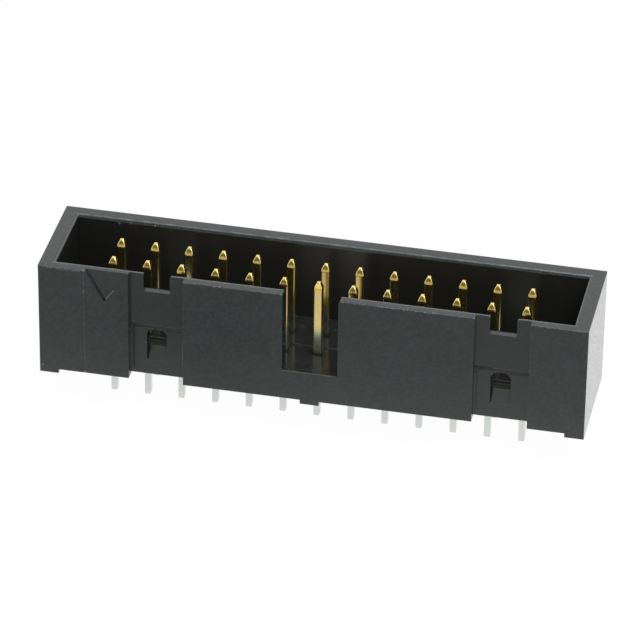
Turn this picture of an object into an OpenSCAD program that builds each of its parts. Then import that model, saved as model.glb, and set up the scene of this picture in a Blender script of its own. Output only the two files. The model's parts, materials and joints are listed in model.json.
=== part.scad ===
// Shrouded board header: one moulded four-wall housing round two rows of square contacts.
// Millimetres. The origin is the middle of the contact grid, on the board's top face.
// X runs along the rows, the keyed wall faces -Y, and the mating plug comes down along -Z.

/* [Contacts] */
// Contacts in each of the two rows
columns = 13; // [8:1:20]
// Spacing of the contacts, along a row and from row to row
pitch = 2.54; // [2.4:0.01:3]
// Side of the square post
post_w = 0.64; // [0.5:0.01:0.8]
// Rounding of the contact's long edges
post_edge_r = 0.08; // [0.02:0.01:0.12]
// Height of the post above the bay's floor
post_h = 6; // [4:0.05:9]
// Length of the coined tip
tip_l = 0.53; // [0.3:0.01:1.2]
// Width of the flat at the end of the tip
tip_flat_w = 0.22; // [0.15:0.01:0.4]
// Turn of the tip's curved faces from their start to the flat, in degrees
tip_turn = 22; // [6:1:30]
// Step from the post to its thinner tail, on each side
shoulder_w = 0.075; // [0.03:0.005:0.08]
// Depth of the shoulder below the bay's floor
shoulder_depth = 1.2; // [0.8:0.05:1.6]
// Reach of the solder tail below the board's top face
tail_l = 2.68; // [2:0.01:4.5]
// Length of the taper at the tail's end
tail_taper_l = 0.2; // [0.1:0.05:0.8]
// Width of the tail's end face
tail_end_w = 0.37; // [0.2:0.01:0.4]
// Room between a contact and its hole, on each side
hole_fit = 0.01; // [0.005:0.005:0.02]

/* [Housing] */
// Height of the feet that hold the base off the board
foot_h = 0.33; // [0.2:0.01:0.8]
// Thickness of the base
base_t = 2.39; // [2:0.01:4]
// Depth of the mating bay, from rim to floor
bay_depth = 6.46; // [5:0.02:9]
// Width of the mating bay
bay_w = 6.3; // [5.6:0.05:8]
// Room from the last contact's centre to the end wall
end_room = 3.73; // [3:0.01:6]
// Thickness of the front and back walls
side_wall = 1.07; // [0.9:0.01:1.6]
// Thickness of the end walls
end_wall = 1.2; // [0.8:0.01:2]
// Rounding of the housing's outer edges
edge_r = 0.08; // [0.05:0.01:0.3]
// Rounding of the lead-in along the back and end walls
lead_r = 0.3; // [0.1:0.01:0.5]
// Rounding of the lead-in along the front wall
front_lead_r = 0.54; // [0.2:0.01:0.6]

/* [Feet] */
// Length of the foot along each end wall
end_foot_l = 1.42; // [0.8:0.01:3]
// Length of the two middle feet
mid_foot_l = 1.4; // [0.8:0.05:3]
// Width of the middle feet, inward from the wall's face
mid_foot_w = 1.5; // [0.8:0.05:2.2]

/* [Row channels] */
// Width of the shallow channel that each row of contacts stands in
channel_w = 1.4; // [1:0.05:1.8]
// Depth of the channel
channel_depth = 0.1; // [0.05:0.01:0.3]

/* [Key slot] */
// Width of the polarising slot in the front wall
key_w = 4.1; // [3:0.05:6]
// Rounding of the slot's upper corners
key_r = 0.25; // [0.1:0.01:0.5]

/* [Front recesses] */
// Width of each recess
recess_w = 4.06; // [3:0.02:5]
// Columns from the first contact to the middle of the left recess
left_recess_col = 1.5; // [1:0.5:2]
// Columns from the middle of the right recess to the last contact
right_recess_col = 0.5; // [0:0.5:1]
// Depth of the recess's upper panel
upper_d = 0.46; // [0.2:0.01:0.6]
// Depth of the recess's lower panel
lower_d = 0.95; // [0.65:0.01:1.2]
// Drop from the rim to the upper edge of the bevel between the panels
bevel_drop = 4.32; // [3:0.02:5]
// Height of that bevel
bevel_h = 0.59; // [0.2:0.01:1]
// Width of the notch in the rim above each recess
notch_w = 1.95; // [1:0.05:2.8]
// Depth of that notch
notch_depth = 1.48; // [0.8:0.02:2.5]
// Rounding of the notch's upper corners
notch_r = 0.15; // [0.05:0.01:0.3]
// Bulge of the wall into the bay behind each lower panel
bulge_d = 0.48; // [0.3:0.01:0.9]

/* [Detent windows] */
// Width of the window in each lower panel
window_w = 1.47; // [1:0.01:2]
// Shift of the window from the middle of its recess
window_shift = -0.14; // [-0.4:0.02:0.4]
// Height of the window's top above the bay's floor
window_top = 1.52; // [1:0.02:2]
// Rounding of the window's upper corners
window_r = 0.55; // [0.1:0.05:0.7]
// Depth of the ramp's top end below the bay's floor
ramp_top_drop = 0.36; // [0.2:0.02:0.6]
// Height of the ramp
ramp_h = 0.83; // [0.4:0.01:1.2]
// Depth of the ramp at its top end, from the lower panel
ramp_d = 0.7; // [0.6:0.02:1]
// Depth of the level ledge behind the ramp
ledge_d = 0.7; // [0.2:0.02:0.8]

/* [First contact mark] */
// Reach of the triangle to the left of the first contact
mark_left = 1.42; // [0.8:0.02:2]
// Reach of the triangle to the right of the first contact
mark_right = 1.89; // [0.8:0.01:2]
// Height of the triangle, from the rim down to its point
mark_h = 2.52; // [1.5:0.02:4]
// Depth of the engraved triangle
mark_d = 0.2; // [0.1:0.01:0.4]

/* [Hidden] */
$fn = 48;
// Reach of a cut past the face that it opens
past = 1;

grid_l = (columns - 1) * pitch;
first_x = -grid_l / 2;
bay_l = grid_l + 2 * end_room;
body_l = bay_l + 2 * end_wall;
body_w = bay_w + 2 * side_wall;

floor_z = foot_h + base_t;
rim_z = floor_z + bay_depth;
shoulder_z = floor_z - shoulder_depth;
tip_z = floor_z + post_h;

front_y = -body_w / 2;
bay_front_y = -bay_w / 2;
lower_panel_y = front_y + lower_d;

tail_w = post_w - 2 * shoulder_w;
recess_xs = [first_x + left_recess_col * pitch, -first_x - right_recess_col * pitch];
bevel_z = rim_z - bevel_drop;

// Contacts are numbered in pairs from the left, odd ones at the keyed wall
contacts = [1 : 2 * columns];
function contact_name(n) = str("pin_", n < 10 ? "0" : "", n);
function contact_at(n) = [first_x + floor((n - 1) / 2) * pitch, (n % 2 == 1 ? -1 : 1) * pitch / 2, 0];

// A profile drawn in Y and Z, carried along X
module along_x(length) {
  rotate([90, 0, 90])
    linear_extrude(length, center = true)
      children();
}

// A profile drawn in X and Z, carried along Y
module along_y(length) {
  rotate([90, 0, 0])
    linear_extrude(length, center = true)
      children();
}

// A rectangle with four rounded corners, about its middle
module soft_rectangle(l, w, r) {
  square([l, w - 2 * r], center = true);
  square([l - 2 * r, w], center = true);
  for (x = [-1, 1], y = [-1, 1])
    translate([x * (l / 2 - r), y * (w / 2 - r)])
      circle(r);
}

// A rectangle with two rounded upper corners, about the upright axis
module arched(width, low_z, high_z, r) {
  translate([-width / 2, low_z])
    square([width, high_z - r - low_z]);
  translate([-width / 2 + r, low_z])
    square([width - 2 * r, high_z - low_z]);
  for (side = [-1, 1])
    translate([side * (width / 2 - r), high_z - r])
      circle(r);
}

// Profile of a cut that is open at the rim, where its two sides round off into the rim
module flared_cut(width, low_z, near_r, far_r) {
  near = -width / 2;
  far = width / 2;
  difference() {
    union() {
      translate([near, low_z])
        square([width, rim_z + past - low_z]);
      translate([near - near_r, rim_z - near_r])
        square([width / 2 + near_r, near_r + past]);
      translate([0, rim_z - far_r])
        square([width / 2 + far_r, far_r + past]);
    }
    translate([near - near_r, rim_z - near_r])
      circle(near_r);
    translate([far + far_r, rim_z - far_r])
      circle(far_r);
  }
}

// The mating bay is where its two crossed profiles meet, so the lead-ins are mitred in the corners
module bay() {
  intersection() {
    along_x(body_l)
      flared_cut(bay_w, floor_z, front_lead_r, lead_r);
    along_y(body_w)
      flared_cut(bay_l, floor_z, lead_r, lead_r);
  }
}

// Base and walls before anything is cut, with the feet below them and the outer edges rounded
module block() {
  intersection() {
    union() {
      translate([-body_l / 2, front_y, foot_h])
        cube([body_l, body_w, rim_z - foot_h]);
      for (side = [0, 1])
        mirror([side, 0, 0])
          translate([-body_l / 2, front_y, 0])
            cube([end_foot_l, body_w, floor_z]);
      for (side = [0, 1])
        mirror([0, side, 0])
          translate([-mid_foot_l / 2, front_y, 0])
            cube([mid_foot_l, mid_foot_w, floor_z]);
    }
    along_x(body_l + past)
      arched(body_w, 0, rim_z, edge_r);
    along_y(body_w + past)
      arched(body_l, 0, rim_z, edge_r);
    linear_extrude(rim_z)
      soft_rectangle(body_l, body_w, edge_r);
  }
}

// A cut through the front wall, open at the rim
module front_wall_cut(width, low_z, r) {
  translate([0, front_y, 0])
    along_y(2 * side_wall + past)
      flared_cut(width, low_z, r, r);
}

// The wall bulges into the bay behind a recess's lower panel, with a sloping top
module bulge() {
  wall_y = (front_y + bay_front_y) / 2;
  bulge_y = bay_front_y + bulge_d;
  along_x(recess_w)
    polygon([
      [wall_y, foot_h],
      [bulge_y, foot_h],
      [bulge_y, bevel_z - bulge_d],
      [bay_front_y, bevel_z],
      [wall_y, bevel_z]
    ]);
}

// A front recess: shallow upper panel, bevel, and a deeper lower panel down to the base's underside
module recess() {
  along_x(recess_w)
    polygon([
      [front_y - past, -past],
      [lower_panel_y, -past],
      [lower_panel_y, bevel_z - bevel_h],
      [front_y + upper_d, bevel_z],
      [front_y + upper_d, rim_z + past],
      [front_y - past, rim_z + past]
    ]);
}

// A detent window: a ramp that climbs inward from the lower panel to a level ledge, open to the bay above
module window() {
  ramp_z = floor_z - ramp_top_drop;
  sill_z = ramp_z - ramp_h;
  ramp_y = lower_panel_y + ramp_d;
  ledge_y = max(ramp_y, bay_front_y + bulge_d) + ledge_d;
  arch_r = min(window_r, window_w / 2 - hole_fit);
  intersection() {
    along_y(body_w + 2 * past)
      arched(window_w, sill_z, floor_z + window_top, arch_r);
    along_x(window_w + past)
      polygon([
        [front_y - past, sill_z],
        [lower_panel_y, sill_z],
        [ramp_y, ramp_z],
        [ledge_y, ramp_z],
        [ledge_y, rim_z],
        [front_y - past, rim_z]
      ]);
  }
}

// The engraved triangle over the first contact, open at the rim
module first_contact_mark() {
  spread = 1 + past / mark_h;
  translate([first_x, front_y, rim_z - mark_h])
    along_y(2 * mark_d)
      polygon([
        [0, 0],
        [mark_right * spread, mark_h * spread],
        [-mark_left * spread, mark_h * spread]
      ]);
}

// The shallow channel along one row, at the bay's floor
module row_channel() {
  translate([first_x - channel_w / 2, -channel_w / 2, floor_z - channel_depth])
    cube([grid_l + channel_w, channel_w, channel_depth + past]);
}

// The stepped hole that a contact stands in
module contact_hole() {
  post_hole_w = post_w + 2 * hole_fit;
  tail_hole_w = tail_w + 2 * hole_fit;
  translate([-post_hole_w / 2, -post_hole_w / 2, shoulder_z])
    cube([post_hole_w, post_hole_w, shoulder_depth + past]);
  translate([-tail_hole_w / 2, -tail_hole_w / 2, foot_h - past])
    cube([tail_hole_w, tail_hole_w, base_t]);
}

module housing() {
  color("#2c2d2f")
    difference() {
      union() {
        difference() {
          block();
          bay();
        }
        for (x = recess_xs)
          translate([x, 0, 0])
            bulge();
      }
      front_wall_cut(key_w, floor_z, key_r);
      first_contact_mark();
      for (x = recess_xs)
        translate([x, 0, 0]) {
          recess();
          front_wall_cut(notch_w, rim_z - notch_depth, notch_r);
          translate([window_shift, 0, 0])
            window();
        }
      for (y = [-pitch / 2, pitch / 2])
        translate([0, y, 0])
          row_channel();
      for (n = contacts)
        translate(contact_at(n))
          contact_hole();
    }
}

// Side view of a post: straight, then drawn in to the tip's flat by one arc on each side
module post_profile() {
  straight_top = tip_z - tip_l;
  tip_inset = (post_w - tip_flat_w) / 2;
  tip_r = norm([tip_inset, tip_l]) / (2 * sin(tip_turn / 2));
  start_angle = atan2(tip_inset, tip_l) - tip_turn / 2;
  translate([-post_w / 2, shoulder_z])
    square([post_w, straight_top - shoulder_z]);
  intersection() {
    translate([-post_w / 2, straight_top])
      square([post_w, tip_l]);
    intersection_for(side = [-1, 1])
      translate([side * (post_w / 2 - tip_r * cos(start_angle)), straight_top - tip_r * sin(start_angle)])
        circle(tip_r);
  }
}

// Side view of a tail, with its tapered end
module tail_profile() {
  polygon([
    [-tail_w / 2, shoulder_z + post_w],
    [-tail_w / 2, tail_taper_l - tail_l],
    [-tail_end_w / 2, -tail_l],
    [tail_end_w / 2, -tail_l],
    [tail_w / 2, tail_taper_l - tail_l],
    [tail_w / 2, shoulder_z + post_w]
  ]);
}

// A square bar with rounded edges, shaped from both sides by one profile
module square_drawn(w) {
  intersection() {
    along_x(post_w + past)
      children();
    along_y(post_w + past)
      children();
    translate([0, 0, -tail_l])
      linear_extrude(tip_z + tail_l)
        soft_rectangle(w, w, post_edge_r);
  }
}

// One contact: the post, the shoulder that sits in the base, and the solder tail
module contact(n) {
  color("goldenrod")
    translate(contact_at(n)) {
      square_drawn(post_w)
        post_profile();
      square_drawn(tail_w)
        tail_profile();
    }
}

housing();
for (n = contacts)
  contact(n);
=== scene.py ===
import json
import math
import bpy
from mathutils import Matrix, Vector

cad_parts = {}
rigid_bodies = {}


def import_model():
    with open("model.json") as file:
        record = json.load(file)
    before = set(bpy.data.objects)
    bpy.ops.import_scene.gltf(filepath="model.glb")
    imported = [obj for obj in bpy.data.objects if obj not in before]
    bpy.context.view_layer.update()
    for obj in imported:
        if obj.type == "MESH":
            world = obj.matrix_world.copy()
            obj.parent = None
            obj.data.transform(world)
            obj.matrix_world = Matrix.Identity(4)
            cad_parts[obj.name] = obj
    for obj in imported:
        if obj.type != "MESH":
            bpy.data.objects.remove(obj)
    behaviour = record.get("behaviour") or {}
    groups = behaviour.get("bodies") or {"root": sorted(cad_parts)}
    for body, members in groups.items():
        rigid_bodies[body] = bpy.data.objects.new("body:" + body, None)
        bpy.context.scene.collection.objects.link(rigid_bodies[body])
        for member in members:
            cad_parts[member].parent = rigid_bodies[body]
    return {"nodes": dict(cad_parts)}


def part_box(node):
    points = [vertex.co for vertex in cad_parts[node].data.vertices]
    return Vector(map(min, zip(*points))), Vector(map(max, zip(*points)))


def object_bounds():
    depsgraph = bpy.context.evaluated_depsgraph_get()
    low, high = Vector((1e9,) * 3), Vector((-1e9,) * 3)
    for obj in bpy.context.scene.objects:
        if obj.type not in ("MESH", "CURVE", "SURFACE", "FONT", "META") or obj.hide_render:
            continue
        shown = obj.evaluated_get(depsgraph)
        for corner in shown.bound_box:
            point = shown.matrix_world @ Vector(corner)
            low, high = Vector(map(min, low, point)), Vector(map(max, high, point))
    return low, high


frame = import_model()
CAD_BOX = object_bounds()
MM = 0.001

# Places on the part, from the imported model
HOUSING_LOW, HOUSING_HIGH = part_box("housing")
TAIL_END = CAD_BOX[0].z
FRONT_Y = HOUSING_LOW.y
RIM_Z = HOUSING_HIGH.z
FLOOR_Z = RIM_Z - 6.46 * MM
LEAD_IN = 0.3 * MM
FRONT_LEAD_IN = 0.54 * MM
INNER_X = HOUSING_HIGH.x - 1.2 * MM
INNER_Y = HOUSING_HIGH.y - 1.07 * MM
RECESS_XS = (-11.43 * MM, 13.97 * MM)
RECESS_W = 4.06 * MM
UPPER_PANEL_Y = FRONT_Y + 0.46 * MM
LOWER_PANEL_Y = FRONT_Y + 0.95 * MM
BEVEL_TOP = RIM_Z - 4.32 * MM
BEVEL_FOOT = BEVEL_TOP - 0.59 * MM
NOTCH_W = 1.95 * MM
NOTCH_Z = RIM_Z - 1.48 * MM
NOTCH_EDGE_Y = FRONT_Y + 0.94 * MM
WINDOW_XS = (-11.57 * MM, 13.83 * MM)
WINDOW_W = 1.47 * MM
RAMP_BACK_Y = LOWER_PANEL_Y + 0.7 * MM
RAMP_TOP = FLOOR_Z - 0.36 * MM
RAMP_FOOT = FLOOR_Z - 1.19 * MM
LEDGE_STEP_Y = (-1.95 * MM, -1.88 * MM)
TIP_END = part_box("pin_01")[1].z
TIP_BASE = TIP_END - 0.53 * MM

# Camera, fitted to the contacts in the photograph
CAMERA_AZIMUTH = 11.44
CAMERA_ELEVATION = 32.65
CAMERA_ROLL = 0.845
CAMERA_DISTANCE = 343.7 * MM
CAMERA_TARGET = Vector((-0.134, 0.0, 4.66)) * MM
CAMERA_CLIP = 10.0 * MM
FOCAL_PIXELS = 4722.0
IMAGE_PIXELS = 640
SENSOR = 36.0

# Colours of the moulded plastic
BLACK_DARK = (0.0045, 0.0070, 0.0075, 1)
BLACK_PALE = (0.0138, 0.0176, 0.0181, 1)
# Painted shade: the sunk recess panels are darker.
RECESS_PAINTED_SHADE = (0.0020, 0.0042, 0.0047, 1)
# Painted light: the recess side walls and their corners are lighter.
SIDE_WALL_PAINTED_LIGHT = (0.0270, 0.0290, 0.0290, 1)
# Painted shade on the left ramp and painted light on the right ramp.
LEFT_RAMP_PAINTED_SHADE = (0.0085, 0.0110, 0.0105, 1)
RIGHT_RAMP_PAINTED_LIGHT = (0.0185, 0.0215, 0.0205, 1)
# Painted light on the ledges behind the windows and on the steps up from them.
LEDGE_PAINTED_LIGHT = (0.0280, 0.0280, 0.0260, 1)
STEP_PAINTED_LIGHT = (0.0350, 0.0350, 0.0340, 1)
BAY_BLACK = (0.0135, 0.0135, 0.0118, 1)
# Painted shade on the end walls of the bay.
BAY_END_PAINTED_SHADE = (0.0080, 0.0080, 0.0070, 1)
BAY_FLOOR_BLACK = (0.0158, 0.0165, 0.0165, 1)
# Painted shade in the dark lines at corners, notch edges and bevels.
SHADE_LINE_BLACK = (0.0030, 0.0032, 0.0032, 1)
EDGE_WEAR = (0.06, 0.064, 0.064, 1)
# Painted highlight along thin edges.
EDGE_HIGHLIGHT_GREY = (0.14, 0.145, 0.145, 1)
# Painted highlight along the inner edge of the rim.
RIM_HIGHLIGHT_GREY = (0.11, 0.122, 0.132, 1)
# Colour of the nicks, also used for the painted glints along the rim's front edge.
NICK_AND_GLINT_COLOUR = (0.14, 0.145, 0.14, 1)

# Surface of the moulded plastic
GRAIN_SCALE = 16000.0
MOTTLE_SCALE = 4200.0
BLOTCH_SCALE = 500.0
MOTTLE_SHARE = 0.75
BLOTCH_SHARE = 0.25
RECESS_SHADE = (0.3, 0.5)
SATIN_ROUGHNESS = (0.15, 0.24)
BAY_WALL_ROUGHNESS = 0.38
BAY_FLOOR_ROUGHNESS = 0.13
BEVEL_ROUGHNESS = 0.65
PLASTIC_IOR = 1.55
PLASTIC_SPECULAR = 0.5
# Lower specular in the painted shade lines.
SHADE_LINE_SPECULAR = 0.06
PLASTIC_BUMP = 0.1
MOTTLE_RELIEF = 1.5
BUMP_DEPTH = 0.01 * MM
EDGE_RADIUS = 0.07 * MM
EDGE_SAMPLES = 8

# Wear, painted highlights and painted shade lines of the moulded plastic; places in millimetres
CHIP_SCALE = 4500.0
CHIP_REACH = (0.05 * MM, 0.3 * MM)
CHIPS_PAST_WITNESS = 0.35
FLECK_SCALE = 7000.0
RIM_HIGHLIGHT_SCALE = 1200.0
RIM_HIGHLIGHT_FRONT = 0.4
RIM_HIGHLIGHT_ENDS = 0.5
WITNESS_X = -16.76 * MM
WITNESS_SCALE = 1500.0
WITNESS_STRENGTH = (0.16, 0.55)
NICK_SCALE = 9000.0
NICK_RADIUS = (0.05 * MM, 0.14 * MM)
NICKS = (
    (-15.9, 3.13, 8.85),
    (-15.05, 3.14, 8.95),
    (-13.2, 3.12, 9.0),
    (13.3, 3.14, 9.1),
    (18.97, -2.2, 9.1),
    (-19.9, -4.2, 0.6),
    (-16.77, -4.22, 9.14),
    (-16.8, -4.22, 7.3),
    (-16.73, -4.22, 0.4),
)
# Painted highlights along thin edges.
EDGE_HIGHLIGHT_W = 0.07 * MM
EDGE_HIGHLIGHT_LINES = (
    ((-15.18, -4.02, 6.8), (-14.56, -4.02, 7.6), 0.75),
    ((-15.2, -4.15, 6.75), (-13.4, -4.15, 9.15), 0.3),
    ((-9.63, -3.27, 1.4), (-9.63, -3.27, 3.2), 0.3),
    ((15.98, -4.2, 9.1), (15.98, -4.2, 8.2), 0.3),
    ((-1.95, -4.22, 2.72), (1.95, -4.22, 2.72), 0.3),
)
RAMP_TOP_HIGHLIGHT = 0.22
RAMP_FOOT_HIGHLIGHT = 0.1
RAMP_FOOT_HIGHLIGHT_W = 0.1 * MM
# Painted shade lines.
SHADE_LINE_W = 0.16 * MM
SHADE_LINES = (
    ((-11.2, -3.27, 4.27), (-9.45, -3.27, 4.27), 0.42),
    ((-9.42, -3.27, 4.1), (-9.42, -3.27, 3.3), 0.35),
    ((-13.4, -3.76, 4.86), (-12.6, -3.76, 4.86), 0.3),
    ((12.0, -3.74, 4.8), (13.2, -3.74, 4.8), 0.6),
    ((14.2, -3.27, 4.27), (15.95, -3.27, 4.27), 0.46),
)
RAMP_CORNER_SHADE = 0.75

# Finish of the contacts: gold on the mating end, a thin wash under it, tin on the tail; some of their
# colours are painted shade and painted highlights
GOLD = (0.86, 0.66, 0.26, 1)
# Painted shade: the back row is a darker gold.
BACK_ROW_SHADED_GOLD = (0.76, 0.58, 0.19, 1)
# Painted shade: the contacts away from the key slot are a duller, darker gold.
OUTER_SHADED_GOLD = (0.71, 0.61, 0.31, 1)
OUTER_X = (3.3 * MM, 4.3 * MM)
GOLD_WASH = (0.60, 0.64, 0.44, 1)
TIN = (0.53, 0.55, 0.525, 1)
# Painted highlight along the contacts' edges.
GOLD_HIGHLIGHT = (1.0, 0.87, 0.50, 1)
TIP_GOLD = (0.86, 0.66, 0.19, 1)
# Painted shade: the tip darkens toward its base.
TIP_BASE_SHADED_GOLD = (0.74, 0.50, 0.12, 1)
# Painted shade in a band at the tip's foot.
TIP_FOOT_SHADE_GOLD = (0.46, 0.35, 0.09, 1)
SOCKET_SHADE = (0.22, 0.22, 0.22, 1)
SOCKET_Z = (FLOOR_Z - 0.1 * MM, FLOOR_Z + 0.03 * MM)
GOLD_END = (4.2 * MM, 5.3 * MM)
WASH_END = (3.6 * MM, 6.0 * MM)
TIN_TOP = (0.5 * MM, 1.0 * MM)
TIP_FOOT_SHADE_Z = (TIP_BASE - 0.03 * MM, TIP_BASE + 0.12 * MM)
PIN_EDGE_RADIUS = 0.15 * MM
TIP_EDGE_RADIUS = 0.08 * MM
DRAWN_SCALE = 9000.0
DRAWN_STRETCH = (1.0, 1.0, 0.06)
DRAWN_ROUGHNESS = (0.16, 0.2)
WASH_ROUGHNESS = (0.29, 0.2)
COINED_ROUGHNESS = (0.12, 0.08)
HIGHLIT_EDGE_ROUGHNESS = 0.08
STREAK_BUMP = (0.02, 0.7)
TIP_LEAN = 0.19
METALLIC = 0.985

# Light: what the surfaces receive, and what the glossy ones mirror
SKY_LIGHT = 0.6
SKY_BACK_GAIN = 0.18
SKY_BACK_REACH = (0.0, 0.8)
SKY_DIM = 0.85
SKY_DIM_TOWARD = (-0.166, -0.822, 0.545)
SKY_DIM_REACH = (0.973, 0.995)
SKY_TOP_DIM = 0.65
SKY_TOP_REACH = (0.92, 0.985)
TABLE_GREY = 0.85
TABLE_SIZE = 2.0
TABLE_GLOW = (0.74, 1.29)
TABLE_GLOW_REACH = (-20.0 * MM, 2.0 * MM)
TABLE_GLOW_RIGHT = 0.065
TABLE_RIGHT_REACH = (5.0 * MM, 20.0 * MM)
TABLE_DIM = 0.18
TABLE_DIM_PLACE = (-11.0 * MM, -14.0 * MM, 0.0)
TABLE_DIM_RADIUS = 16.0 * MM
SHADOW_TRACE = 0.02
LAMP_PLACE = Vector((0.15, -0.1, 0.5))
LAMP_SIZE = 0.4
LAMP_POWER = 3.0


def make_camera():
    """A long lens that looks down on the keyed wall from the right."""
    a = math.radians(CAMERA_AZIMUTH)
    e = math.radians(CAMERA_ELEVATION)
    back = Vector((math.sin(a) * math.cos(e), -math.cos(a) * math.cos(e), math.sin(e)))
    right = Vector((math.cos(a), math.sin(a), 0))
    up = back.cross(right)
    axes = Matrix((right, up, back)).transposed().to_4x4()
    place = Matrix.Translation(CAMERA_TARGET + back * CAMERA_DISTANCE)
    data = bpy.data.cameras.new("camera")
    data.sensor_width = SENSOR
    data.lens = FOCAL_PIXELS / IMAGE_PIXELS * SENSOR
    data.clip_start = CAMERA_CLIP
    camera = bpy.data.objects.new("camera", data)
    camera.matrix_world = place @ axes @ Matrix.Rotation(math.radians(CAMERA_ROLL), 4, "Z")
    bpy.context.scene.collection.objects.link(camera)
    bpy.context.scene.camera = camera


class Nodes:
    """Short calls for building one node tree."""

    def __init__(self, tree):
        self.tree = tree
        tree.nodes.clear()

    def add(self, kind, inputs=None, **settings):
        node = self.tree.nodes.new(kind)
        for name, value in settings.items():
            setattr(node, name, value)
        for name, value in (inputs or {}).items():
            self.set(node.inputs[name], value)
        return node

    def set(self, socket, value):
        if isinstance(value, bpy.types.NodeSocket):
            self.tree.links.new(value, socket)
        else:
            socket.default_value = value

    def math(self, operation, a, b=0.0, clamp=False):
        node = self.add("ShaderNodeMath", operation=operation, use_clamp=clamp)
        self.set(node.inputs[0], a)
        self.set(node.inputs[1], b)
        return node.outputs[0]

    def product(self, first, *others):
        total = first
        for other in others:
            total = self.math("MULTIPLY", total, other)
        return total

    def vector(self, operation, a, b):
        node = self.add("ShaderNodeVectorMath", operation=operation)
        self.set(node.inputs[0], a)
        self.set(node.inputs[1], b)
        return node.outputs

    def split(self, vector):
        return self.add("ShaderNodeSeparateXYZ", {"Vector": vector}).outputs

    def noise(self, vector, scale, detail=2.0, roughness=0.5):
        inputs = {"Vector": vector, "Scale": scale, "Detail": detail, "Roughness": roughness}
        return self.add("ShaderNodeTexNoise", inputs).outputs["Fac"]

    def ramp(self, value, low, high, to_low=0.0, to_high=1.0):
        inputs = {"Value": value, "From Min": low, "From Max": high, "To Min": to_low, "To Max": to_high}
        return self.add("ShaderNodeMapRange", inputs, interpolation_type="SMOOTHSTEP").outputs["Result"]

    def blend(self, factor, a, b):
        """One number where the factor is 0, another where it is 1."""
        return self.ramp(factor, 0.0, 1.0, a, b)

    def mix(self, factor, a, b):
        """One colour where the factor is 0, another where it is 1."""
        node = self.add("ShaderNodeMix", data_type="RGBA")
        self.set(node.inputs["Factor"], factor)
        self.set(node.inputs[6], a)
        self.set(node.inputs[7], b)
        return node.outputs[2]

    def rounded(self, radius):
        """The normal with its edges rounded."""
        return self.add("ShaderNodeBevel", {"Radius": radius}, samples=EDGE_SAMPLES).outputs[0]

    def bump(self, strength, distance, height, normal):
        inputs = {"Strength": strength, "Distance": distance, "Height": height, "Normal": normal}
        return self.add("ShaderNodeBump", inputs).outputs[0]

    def show(self, shader):
        out = self.add("ShaderNodeOutputMaterial")
        self.set(out.inputs["Surface"], shader.outputs[0])


def grey(value):
    return (value, value, value, 1.0)


def new_material(name):
    """A material, its nodes, and the place on the surface in the part's frame."""
    material = bpy.data.materials.new(name)
    material.use_nodes = True
    n = Nodes(material.node_tree)
    place = n.add("ShaderNodeTexCoord").outputs["Object"]
    return material, n, place


def between(n, value, low, high, soft=0.02 * MM):
    """1 where a value lies between two limits, else 0."""
    return n.product(n.ramp(value, low - soft, low), n.ramp(value, high, high + soft, 1.0, 0.0))


def near(n, axes, centres, width):
    """1 within half a width of any of some places along the wall, else 0."""
    total = 0.0
    for x in centres:
        total = n.math("ADD", between(n, axes["X"], x - width / 2, x + width / 2, 0.05 * MM), total)
    return total


def edge_mask(n, rounded):
    """1 along the edges, where the rounded normal leaves the face's own normal."""
    face = n.add("ShaderNodeNewGeometry").outputs["Normal"]
    agree = n.vector("DOT_PRODUCT", rounded, face)["Value"]
    return n.ramp(agree, 0.8, 0.97, 1.0, 0.0)


def segment(n, place, start, end, width):
    """1 on a thin line between two points, else 0."""
    run = end - start
    along = n.vector("DOT_PRODUCT", place, run / run.length_squared)["Value"]
    along = n.math("SUBTRACT", along, start.dot(run) / run.length_squared, clamp=True)
    step = n.add("ShaderNodeVectorMath", {"Vector": run, "Scale": along}, operation="SCALE")
    nearest = n.vector("ADD", step.outputs["Vector"], start)["Vector"]
    away = n.vector("DISTANCE", place, nearest)["Value"]
    return n.ramp(away, width * 0.4, width, 1.0, 0.0)


def strongest_line(n, place, lines):
    """The strongest of some thin lines, each with its two ends, width and strength."""
    total = 0.0
    for start, end, width, strength in lines:
        line = n.product(segment(n, place, start, end, width), strength)
        total = n.math("MAXIMUM", line, total)
    return total


def in_metres(lines, width):
    """Lines given in millimetres, made ready for strongest_line."""
    return [(Vector(start) * MM, Vector(end) * MM, width, strength) for start, end, strength in lines]


def in_bay(n, axes):
    """1 inside the walls of the mating bay, below the rim."""
    soft = 0.05 * MM
    across = n.ramp(n.math("ABSOLUTE", axes["Y"]), INNER_Y, INNER_Y + soft, 1.0, 0.0)
    along = n.ramp(n.math("ABSOLUTE", axes["X"]), INNER_X, INNER_X + soft, 1.0, 0.0)
    above = n.ramp(axes["Z"], FLOOR_Z - 0.3 * MM, FLOOR_Z - 0.2 * MM)
    below = n.ramp(axes["Z"], RIM_Z - 0.4 * MM, RIM_Z - 0.1 * MM, 1.0, 0.0)
    return n.product(across, along, above, below)


def in_recess(n, axes):
    """1 on the sunk panels of the front wall."""
    sunk = between(n, axes["Y"], UPPER_PANEL_Y - 0.06 * MM, LOWER_PANEL_Y + 0.05 * MM, 0.1 * MM)
    return n.product(sunk, near(n, axes, RECESS_XS, RECESS_W))


def on_bevel(n, axes):
    """1 on the bevel between the two panels of a recess."""
    across = between(n, axes["Y"], UPPER_PANEL_Y + 0.02 * MM, LOWER_PANEL_Y - 0.02 * MM)
    up = between(n, axes["Z"], BEVEL_FOOT, BEVEL_TOP)
    return n.product(across, up, near(n, axes, RECESS_XS, RECESS_W))


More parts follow.
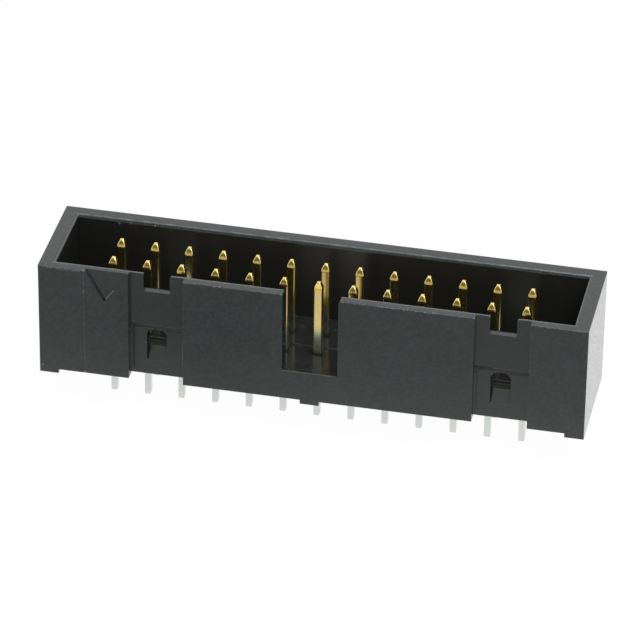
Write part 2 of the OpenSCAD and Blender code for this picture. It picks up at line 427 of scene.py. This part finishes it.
def on_side_wall(n, axes):
    """1 on the left side wall of each recess and into its corner, below the bevel."""
    across = between(n, axes["Y"], UPPER_PANEL_Y - 0.2 * MM, LOWER_PANEL_Y + 0.03 * MM)
    low = n.ramp(axes["Z"], BEVEL_FOOT, BEVEL_TOP, 1.0, 0.0)
    corners = [x - RECESS_W / 2 + 0.04 * MM for x in RECESS_XS]
    return n.product(across, low, near(n, axes, corners, 0.18 * MM))


def on_ramp(n, axes):
    """1 on the ramp of a detent window."""
    across = between(n, axes["Y"], LOWER_PANEL_Y + 0.03 * MM, RAMP_BACK_Y)
    up = between(n, axes["Z"], RAMP_FOOT, RAMP_TOP)
    return n.product(across, up, near(n, axes, WINDOW_XS, WINDOW_W))


def on_ledge(n, axes):
    """1 on the ledge behind a detent ramp and on the step up from it."""
    behind = between(n, axes["Y"], RAMP_BACK_Y + 0.05 * MM, -MM, 0.05 * MM)
    up = between(n, axes["Z"], RAMP_TOP - 0.02 * MM, FLOOR_Z - 0.12 * MM)
    return n.product(behind, up, near(n, axes, WINDOW_XS, WINDOW_W))


def rim_wear(n, place, axes):
    """Light wear over the front edge of the rim, chipped most at the left end."""
    reach = n.ramp(n.noise(place, CHIP_SCALE, 4.0, 0.7), 0.35, 0.7, *CHIP_REACH)
    left = n.ramp(axes["X"], WITNESS_X, WITNESS_X + 0.3 * MM, 1.0, CHIPS_PAST_WITNESS)
    below = n.math("SUBTRACT", RIM_Z, axes["Z"])
    past = n.math("SUBTRACT", below, n.product(reach, left))
    chipped = n.ramp(past, -0.03 * MM, 0.03 * MM, 1.0, 0.0)
    front = n.ramp(axes["Y"], FRONT_Y + 0.03 * MM, FRONT_Y + 0.08 * MM, 1.0, 0.0)
    return n.product(chipped, front)


def rim_flecks_and_glints(n, place, axes):
    """Tiny bright flecks along the front edge of the rim: partly chips, partly painted glints of its rounded
    edge.
    """
    edge = n.ramp(axes["Z"], RIM_Z - 0.12 * MM, RIM_Z - 0.06 * MM)
    front = n.ramp(axes["Y"], FRONT_Y + 0.06 * MM, FRONT_Y + 0.12 * MM, 1.0, 0.0)
    fleck = n.ramp(n.noise(place, FLECK_SCALE, 1.0), 0.6, 0.7)
    return n.product(edge, front, fleck)


def rim_highlight(n, place, axes):
    """A thin broken painted highlight along the inner edge of the rim."""
    along = n.math("ABSOLUTE", axes["X"])
    across = n.math("ABSOLUTE", axes["Y"])
    half = 0.05 * MM
    front_y = -INNER_Y - FRONT_LEAD_IN
    end_x = INNER_X + 0.5 * LEAD_IN
    back = between(n, axes["Y"], INNER_Y + 0.13 * MM, INNER_Y + 0.22 * MM)
    front = n.product(between(n, axes["Y"], front_y, front_y + half), RIM_HIGHLIGHT_FRONT)
    sides = n.math("MAXIMUM", back, front)
    sides = n.product(sides, n.ramp(along, INNER_X + LEAD_IN, INNER_X + LEAD_IN + half, 1.0, 0.0))
    ends = between(n, along, end_x - half, end_x)
    ends = n.product(ends, n.ramp(across, INNER_Y + LEAD_IN, INNER_Y + LEAD_IN + half, RIM_HIGHLIGHT_ENDS, 0.0))
    near_rim = n.ramp(n.math("SUBTRACT", RIM_Z, axes["Z"]), 0.08 * MM, 0.14 * MM, 1.0, 0.0)
    broken = n.ramp(n.noise(place, RIM_HIGHLIGHT_SCALE, 3.0), 0.35, 0.65, 0.45, 1.0)
    return n.product(n.math("MAXIMUM", sides, ends), near_rim, broken)


def witness_line(n, place, axes):
    """A broken mould line up the left block of the front wall."""
    off = n.math("ABSOLUTE", n.math("SUBTRACT", axes["X"], WITNESS_X))
    line = n.ramp(off, 0.01 * MM, 0.05 * MM, 1.0, 0.0)
    front = n.ramp(axes["Y"], FRONT_Y + 0.02 * MM, FRONT_Y + 0.08 * MM, 1.0, 0.0)
    broken = n.ramp(n.noise(place, WITNESS_SCALE, 3.0), 0.4, 0.65, *WITNESS_STRENGTH)
    return n.product(line, front, broken)


def nicks(n, place):
    """Small bright nicks on the rim, at one foot and along the mould line."""
    total = 0.0
    for centre in NICKS:
        away = n.vector("DISTANCE", place, Vector(centre) * MM)["Value"]
        total = n.math("MAXIMUM", n.ramp(away, *NICK_RADIUS, 1.0, 0.0), total)
    return n.product(total, n.ramp(n.noise(place, NICK_SCALE), 0.42, 0.6))


def edge_highlights(n, place):
    """Painted highlights along thin edges: at the triangle, the recesses, the key slot, and the ramps' tops
    and feet.
    """
    lines = in_metres(EDGE_HIGHLIGHT_LINES, EDGE_HIGHLIGHT_W)
    half = Vector((WINDOW_W / 2, 0, 0))
    for x in WINDOW_XS:
        top = Vector((x, RAMP_BACK_Y, RAMP_TOP))
        foot = Vector((x, LOWER_PANEL_Y, RAMP_FOOT))
        lines.append((top - half, top + half, EDGE_HIGHLIGHT_W, RAMP_TOP_HIGHLIGHT))
        lines.append((foot - half, foot + half, RAMP_FOOT_HIGHLIGHT_W, RAMP_FOOT_HIGHLIGHT))
    return strongest_line(n, place, lines)


def ramp_corner_shade(n, place, axes):
    """Painted shade: a dark line in the left corner of each ramp."""
    lines = []
    for x in WINDOW_XS:
        foot = Vector((x - WINDOW_W / 2, LOWER_PANEL_Y, RAMP_FOOT))
        top = Vector((x - WINDOW_W / 2, RAMP_BACK_Y, RAMP_TOP))
        lines.append((foot, top, SHADE_LINE_W, 1.0))
    sunk = n.ramp(axes["Y"], LOWER_PANEL_Y + 0.01 * MM, LOWER_PANEL_Y + 0.06 * MM, 0.0, RAMP_CORNER_SHADE)
    return n.product(strongest_line(n, place, lines), sunk)


def notch_edge_shade(n, axes):
    """Painted shade: a dark line along the inner edge of each rim notch."""
    inner_edge = between(n, axes["Y"], NOTCH_EDGE_Y, NOTCH_EDGE_Y + 0.3 * MM)
    level = between(n, axes["Z"], NOTCH_Z - 0.08 * MM, NOTCH_Z + 0.08 * MM)
    return n.product(inner_edge, level, near(n, axes, RECESS_XS, NOTCH_W))


def painted_shade_lines(n, place, axes):
    """All painted shade lines: the ramps' corners, the notches' edges and the recesses' bevels."""
    lines = strongest_line(n, place, in_metres(SHADE_LINES, SHADE_LINE_W))
    corners = n.math("MAXIMUM", ramp_corner_shade(n, place, axes), notch_edge_shade(n, axes))
    return n.math("MAXIMUM", corners, lines)


def moulded_black(n, place, mottle):
    """Black with a fine mottle and wide faint blotches."""
    fine = n.ramp(mottle, 0.35, 0.65, 0.0, MOTTLE_SHARE)
    wide = n.ramp(n.noise(place, BLOTCH_SCALE, 3.0), 0.35, 0.65, 0.0, BLOTCH_SHARE)
    return n.mix(n.math("ADD", fine, wide), BLACK_DARK, BLACK_PALE)


def front_wall_painted_light_and_shade(n, axes, base):
    """Painted shade on the recesses, painted light on their side walls and corners, and the ramps painted in
    the light and shade of their panels: the left darker, the right lighter.
    """
    sunk = n.ramp(axes["Z"], BEVEL_FOOT, BEVEL_TOP, *RECESS_SHADE)
    base = n.mix(n.product(in_recess(n, axes), sunk), base, RECESS_PAINTED_SHADE)
    base = n.mix(on_side_wall(n, axes), base, SIDE_WALL_PAINTED_LIGHT)
    right = n.ramp(axes["X"], -MM, MM)
    return n.mix(on_ramp(n, axes), base, n.mix(right, LEFT_RAMP_PAINTED_SHADE, RIGHT_RAMP_PAINTED_LIGHT))


def bay_tones_with_painted_light(n, axes, base, bay, low):
    """The bay's walls with painted shade on its ends, its floor, and painted light on the ledges behind the
    windows and on the steps up from them.
    """
    end = n.ramp(n.math("ABSOLUTE", axes["X"]), INNER_X - 0.1 * MM, INNER_X - 0.02 * MM)
    walls = n.mix(end, BAY_BLACK, BAY_END_PAINTED_SHADE)
    base = n.mix(bay, base, n.mix(low, walls, BAY_FLOOR_BLACK))
    step = n.ramp(axes["Y"], *LEDGE_STEP_Y)
    return n.mix(on_ledge(n, axes), base, n.mix(step, LEDGE_PAINTED_LIGHT, STEP_PAINTED_LIGHT))


def wear_and_painted_light(n, place, axes, base, shade_line_mask):
    """Wear, flecks that are partly painted glints, painted edge highlights, the painted rim highlight and
    nicks, then the painted shade lines over them.
    """
    worn = n.math("MAXIMUM", rim_wear(n, place, axes), witness_line(n, place, axes))
    base = n.mix(worn, base, EDGE_WEAR)
    base = n.mix(rim_flecks_and_glints(n, place, axes), base, NICK_AND_GLINT_COLOUR)
    base = n.mix(edge_highlights(n, place), base, EDGE_HIGHLIGHT_GREY)
    base = n.mix(rim_highlight(n, place, axes), base, RIM_HIGHLIGHT_GREY)
    base = n.mix(nicks(n, place), base, NICK_AND_GLINT_COLOUR)
    return n.mix(shade_line_mask, base, SHADE_LINE_BLACK)


def plastic_roughness(n, axes, mottle, bay, low):
    """Satin outside, smoother on the bay's floor, matt on the bevels."""
    satin = n.ramp(mottle, 0.2, 0.8, *SATIN_ROUGHNESS)
    inside = n.blend(low, BAY_WALL_ROUGHNESS, BAY_FLOOR_ROUGHNESS)
    return n.blend(on_bevel(n, axes), n.blend(bay, satin, inside), BEVEL_ROUGHNESS)


def plastic_normal(n, place, mottle, bay):
    """Rounded edges, with a moulded grain outside the bay."""
    grain = n.noise(place, GRAIN_SCALE)
    relief = n.math("ADD", grain, n.product(mottle, MOTTLE_RELIEF))
    relief = n.product(relief, n.math("SUBTRACT", 1.0, bay))
    return n.bump(PLASTIC_BUMP, BUMP_DEPTH, relief, n.rounded(EDGE_RADIUS))


def satin_plastic():
    """Black moulded thermoplastic: satin outside, smoother in the bay, worn along the rim, with painted
    shade and painted highlights.
    """
    material, n, place = new_material("satin_black_plastic")
    axes = n.split(place)
    mottle = n.noise(place, MOTTLE_SCALE)
    bay = in_bay(n, axes)
    low = n.ramp(axes["Z"], FLOOR_Z + 0.05 * MM, FLOOR_Z + 0.15 * MM, 1.0, 0.0)
    shade_line_mask = painted_shade_lines(n, place, axes)
    base = front_wall_painted_light_and_shade(n, axes, moulded_black(n, place, mottle))
    base = bay_tones_with_painted_light(n, axes, base, bay, low)
    inputs = {
        "Base Color": wear_and_painted_light(n, place, axes, base, shade_line_mask),
        "Roughness": plastic_roughness(n, axes, mottle, bay, low),
        "IOR": PLASTIC_IOR,
        # Specular lowered in the painted shade lines.
        "Specular IOR Level": n.blend(shade_line_mask, PLASTIC_SPECULAR, SHADE_LINE_SPECULAR),
        "Normal": plastic_normal(n, place, mottle, bay),
    }
    n.show(n.add("ShaderNodeBsdfPrincipled", inputs))
    return material


def contact_masks(n, axes):
    """Where a contact has its tip, the band of painted shade at the tip's foot and the edges with painted
    highlights, and which row it stands in.
    """
    height = axes["Z"]
    tip = n.ramp(height, TIP_BASE - 0.05 * MM, TIP_BASE + 0.03 * MM)
    back_row = n.ramp(axes["Y"], -0.5 * MM, 0.5 * MM)
    at_key = n.math("SUBTRACT", between(n, axes["X"], -MM, MM), back_row, clamp=True)
    tip_foot_shade = n.math("SUBTRACT", between(n, height, *TIP_FOOT_SHADE_Z, 0.06 * MM), at_key, clamp=True)
    rounded = n.rounded(n.blend(tip, PIN_EDGE_RADIUS, TIP_EDGE_RADIUS))
    plated = n.ramp(height, *TIN_TOP)
    return {
        "tip": tip,
        "tip_top": n.ramp(height, TIP_BASE, TIP_END),
        "back_row": back_row,
        "outer": n.ramp(n.math("ABSOLUTE", axes["X"]), *OUTER_X),
        "at_key": at_key,
        "tip_foot_shade": tip_foot_shade,
        "rounded": rounded,
        "highlit_edge": n.product(edge_mask(n, rounded), plated, n.math("SUBTRACT", 1.0, tip_foot_shade)),
    }


def contact_colour(n, height, masks):
    """Tin below, a thin wash over it, gold above, with painted shade on the back row, on the contacts away
    from the key slot, toward the tip's base, in a band at the tip's foot and at the floor, and painted
    highlights along the edges.
    """
    gold = n.mix(masks["outer"], n.mix(masks["back_row"], GOLD, BACK_ROW_SHADED_GOLD), OUTER_SHADED_GOLD)
    colour = n.mix(n.ramp(height, *TIN_TOP), TIN, GOLD_WASH)
    colour = n.mix(n.ramp(height, *GOLD_END), colour, gold)
    colour = n.mix(masks["tip"], colour, n.mix(masks["tip_top"], TIP_BASE_SHADED_GOLD, TIP_GOLD))
    colour = n.mix(masks["highlit_edge"], colour, GOLD_HIGHLIGHT)
    colour = n.mix(masks["tip_foot_shade"], colour, TIP_FOOT_SHADE_GOLD)
    return n.mix(between(n, height, *SOCKET_Z), colour, SOCKET_SHADE)


def contact_roughness(n, height, drawn, masks):
    """Streaked by drawing, duller in the wash, smooth on the coined tip and on the edges with painted
    highlights.
    """
    rough = n.ramp(drawn, 0.3, 0.7, *DRAWN_ROUGHNESS)
    rough = n.ramp(height, *WASH_END, n.blend(masks["back_row"], *WASH_ROUGHNESS), rough)
    rough = n.blend(masks["tip"], rough, n.blend(masks["tip_top"], *COINED_ROUGHNESS))
    return n.blend(masks["highlit_edge"], rough, HIGHLIT_EDGE_ROUGHNESS)


def contact_normal(n, height, drawn, masks):
    """Rounded edges and drawn streaks; the tips lean a little more, but not in the key slot."""
    rise = n.math("MAXIMUM", n.math("SUBTRACT", height, TIP_BASE), 0.0)
    slope = n.blend(masks["at_key"], -TIP_LEAN, 0.0)
    lean = n.bump(1.0, 1.0, n.product(rise, slope), masks["rounded"])
    return n.bump(n.blend(masks["tip"], *STREAK_BUMP), BUMP_DEPTH, drawn, lean)


def contact_metal():
    """Drawn square contact with painted highlights along its edges and painted shade, plated in two metals.
    """
    material, n, place = new_material("gold_and_tin_plate")
    axes = n.split(place)
    height = axes["Z"]
    stretch = n.add("ShaderNodeMapping", {"Vector": place, "Scale": DRAWN_STRETCH}).outputs[0]
    drawn = n.noise(stretch, DRAWN_SCALE, 3.0)
    masks = contact_masks(n, axes)
    inputs = {
        "Base Color": contact_colour(n, height, masks),
        "Metallic": METALLIC,
        "Roughness": contact_roughness(n, height, drawn, masks),
        "Normal": contact_normal(n, height, drawn, masks),
    }
    n.show(n.add("ShaderNodeBsdfPrincipled", inputs))
    return material


def table_glow(n, place):
    """How bright the floor is in reflections: more to the back and right, less before the left block."""
    axes = n.split(place)
    glow = n.ramp(axes["Y"], *TABLE_GLOW_REACH, *TABLE_GLOW)
    glow = n.math("ADD", glow, n.ramp(axes["X"], *TABLE_RIGHT_REACH, 0.0, TABLE_GLOW_RIGHT))
    away = n.vector("DISTANCE", place, TABLE_DIM_PLACE)["Value"]
    return n.math("SUBTRACT", glow, n.ramp(away, 0.0, TABLE_DIM_RADIUS, TABLE_DIM, 0.0))


def floor_material():
    """White paper with a trace of the part's shadow."""
    material, n, place = new_material("white_floor")
    path = n.add("ShaderNodeLightPath").outputs
    seen = n.math("MAXIMUM", path["Is Camera Ray"], path["Is Transmission Ray"])
    shown = n.math("MAXIMUM", n.product(seen, 1.0 - SHADOW_TRACE), path["Is Glossy Ray"])
    strength = n.blend(path["Is Glossy Ray"], 1.0, table_glow(n, place))
    paper = n.add("ShaderNodeBsdfDiffuse", {"Color": grey(TABLE_GREY)})
    white = n.add("ShaderNodeEmission", {"Color": grey(1.0), "Strength": strength})
    mixed = n.add("ShaderNodeMixShader", {"Fac": shown})
    n.set(mixed.inputs[1], paper.outputs[0])
    n.set(mixed.inputs[2], white.outputs[0])
    n.show(mixed)
    return material


def make_world():
    """White to the eye, a soft light on the surfaces, and in reflections a brighter back and a dim front."""
    world = bpy.data.worlds.new("studio")
    bpy.context.scene.world = world
    world.use_nodes = True
    n = Nodes(world.node_tree)
    path = n.add("ShaderNodeLightPath").outputs
    toward = n.add("ShaderNodeTexCoord").outputs["Generated"]
    axes = n.split(toward)
    back = n.ramp(axes["Y"], *SKY_BACK_REACH, 1.0, 1.0 + SKY_BACK_GAIN)
    front = n.vector("DOT_PRODUCT", toward, SKY_DIM_TOWARD)["Value"]
    dim = n.ramp(front, *SKY_DIM_REACH, 0.0, SKY_DIM)
    dim = n.math("ADD", dim, n.ramp(axes["Z"], *SKY_TOP_REACH, 0.0, SKY_TOP_DIM))
    mirrored = n.math("SUBTRACT", back, dim)
    strength = n.blend(path["Is Glossy Ray"], SKY_LIGHT, mirrored)
    seen = n.math("MAXIMUM", path["Is Camera Ray"], path["Is Transmission Ray"])
    strength = n.blend(seen, strength, 1.0)
    sky = n.add("ShaderNodeBackground", {"Color": grey(1.0), "Strength": strength})
    out = n.add("ShaderNodeOutputWorld")
    n.set(out.inputs["Surface"], sky.outputs[0])


def make_floor():
    bpy.ops.mesh.primitive_plane_add(size=TABLE_SIZE, location=(0, 0, TAIL_END))
    floor = bpy.context.object
    floor.name = "floor"
    floor.data.materials.append(floor_material())


def make_lamp():
    """One wide soft lamp above, a little to the front and right."""
    data = bpy.data.lights.new("key", "AREA")
    data.shape = "DISK"
    data.size = LAMP_SIZE
    data.energy = LAMP_POWER
    lamp = bpy.data.objects.new("key", data)
    lamp.location = LAMP_PLACE
    lamp.rotation_mode = "QUATERNION"
    lamp.rotation_quaternion = (-LAMP_PLACE).to_track_quat("-Z", "Y")
    bpy.context.scene.collection.objects.link(lamp)


def dress():
    plastic = satin_plastic()
    metal = contact_metal()
    for name, node in frame["nodes"].items():
        material = plastic if name == "housing" else metal
        for slot in node.material_slots:
            slot.material = material


bpy.context.scene.view_settings.view_transform = "Standard"
for spare in [o for o in bpy.data.objects if o.name in ("Cube", "Light", "Camera")]:
    bpy.data.objects.remove(spare)
make_camera()
make_world()
make_floor()
make_lamp()
dress()
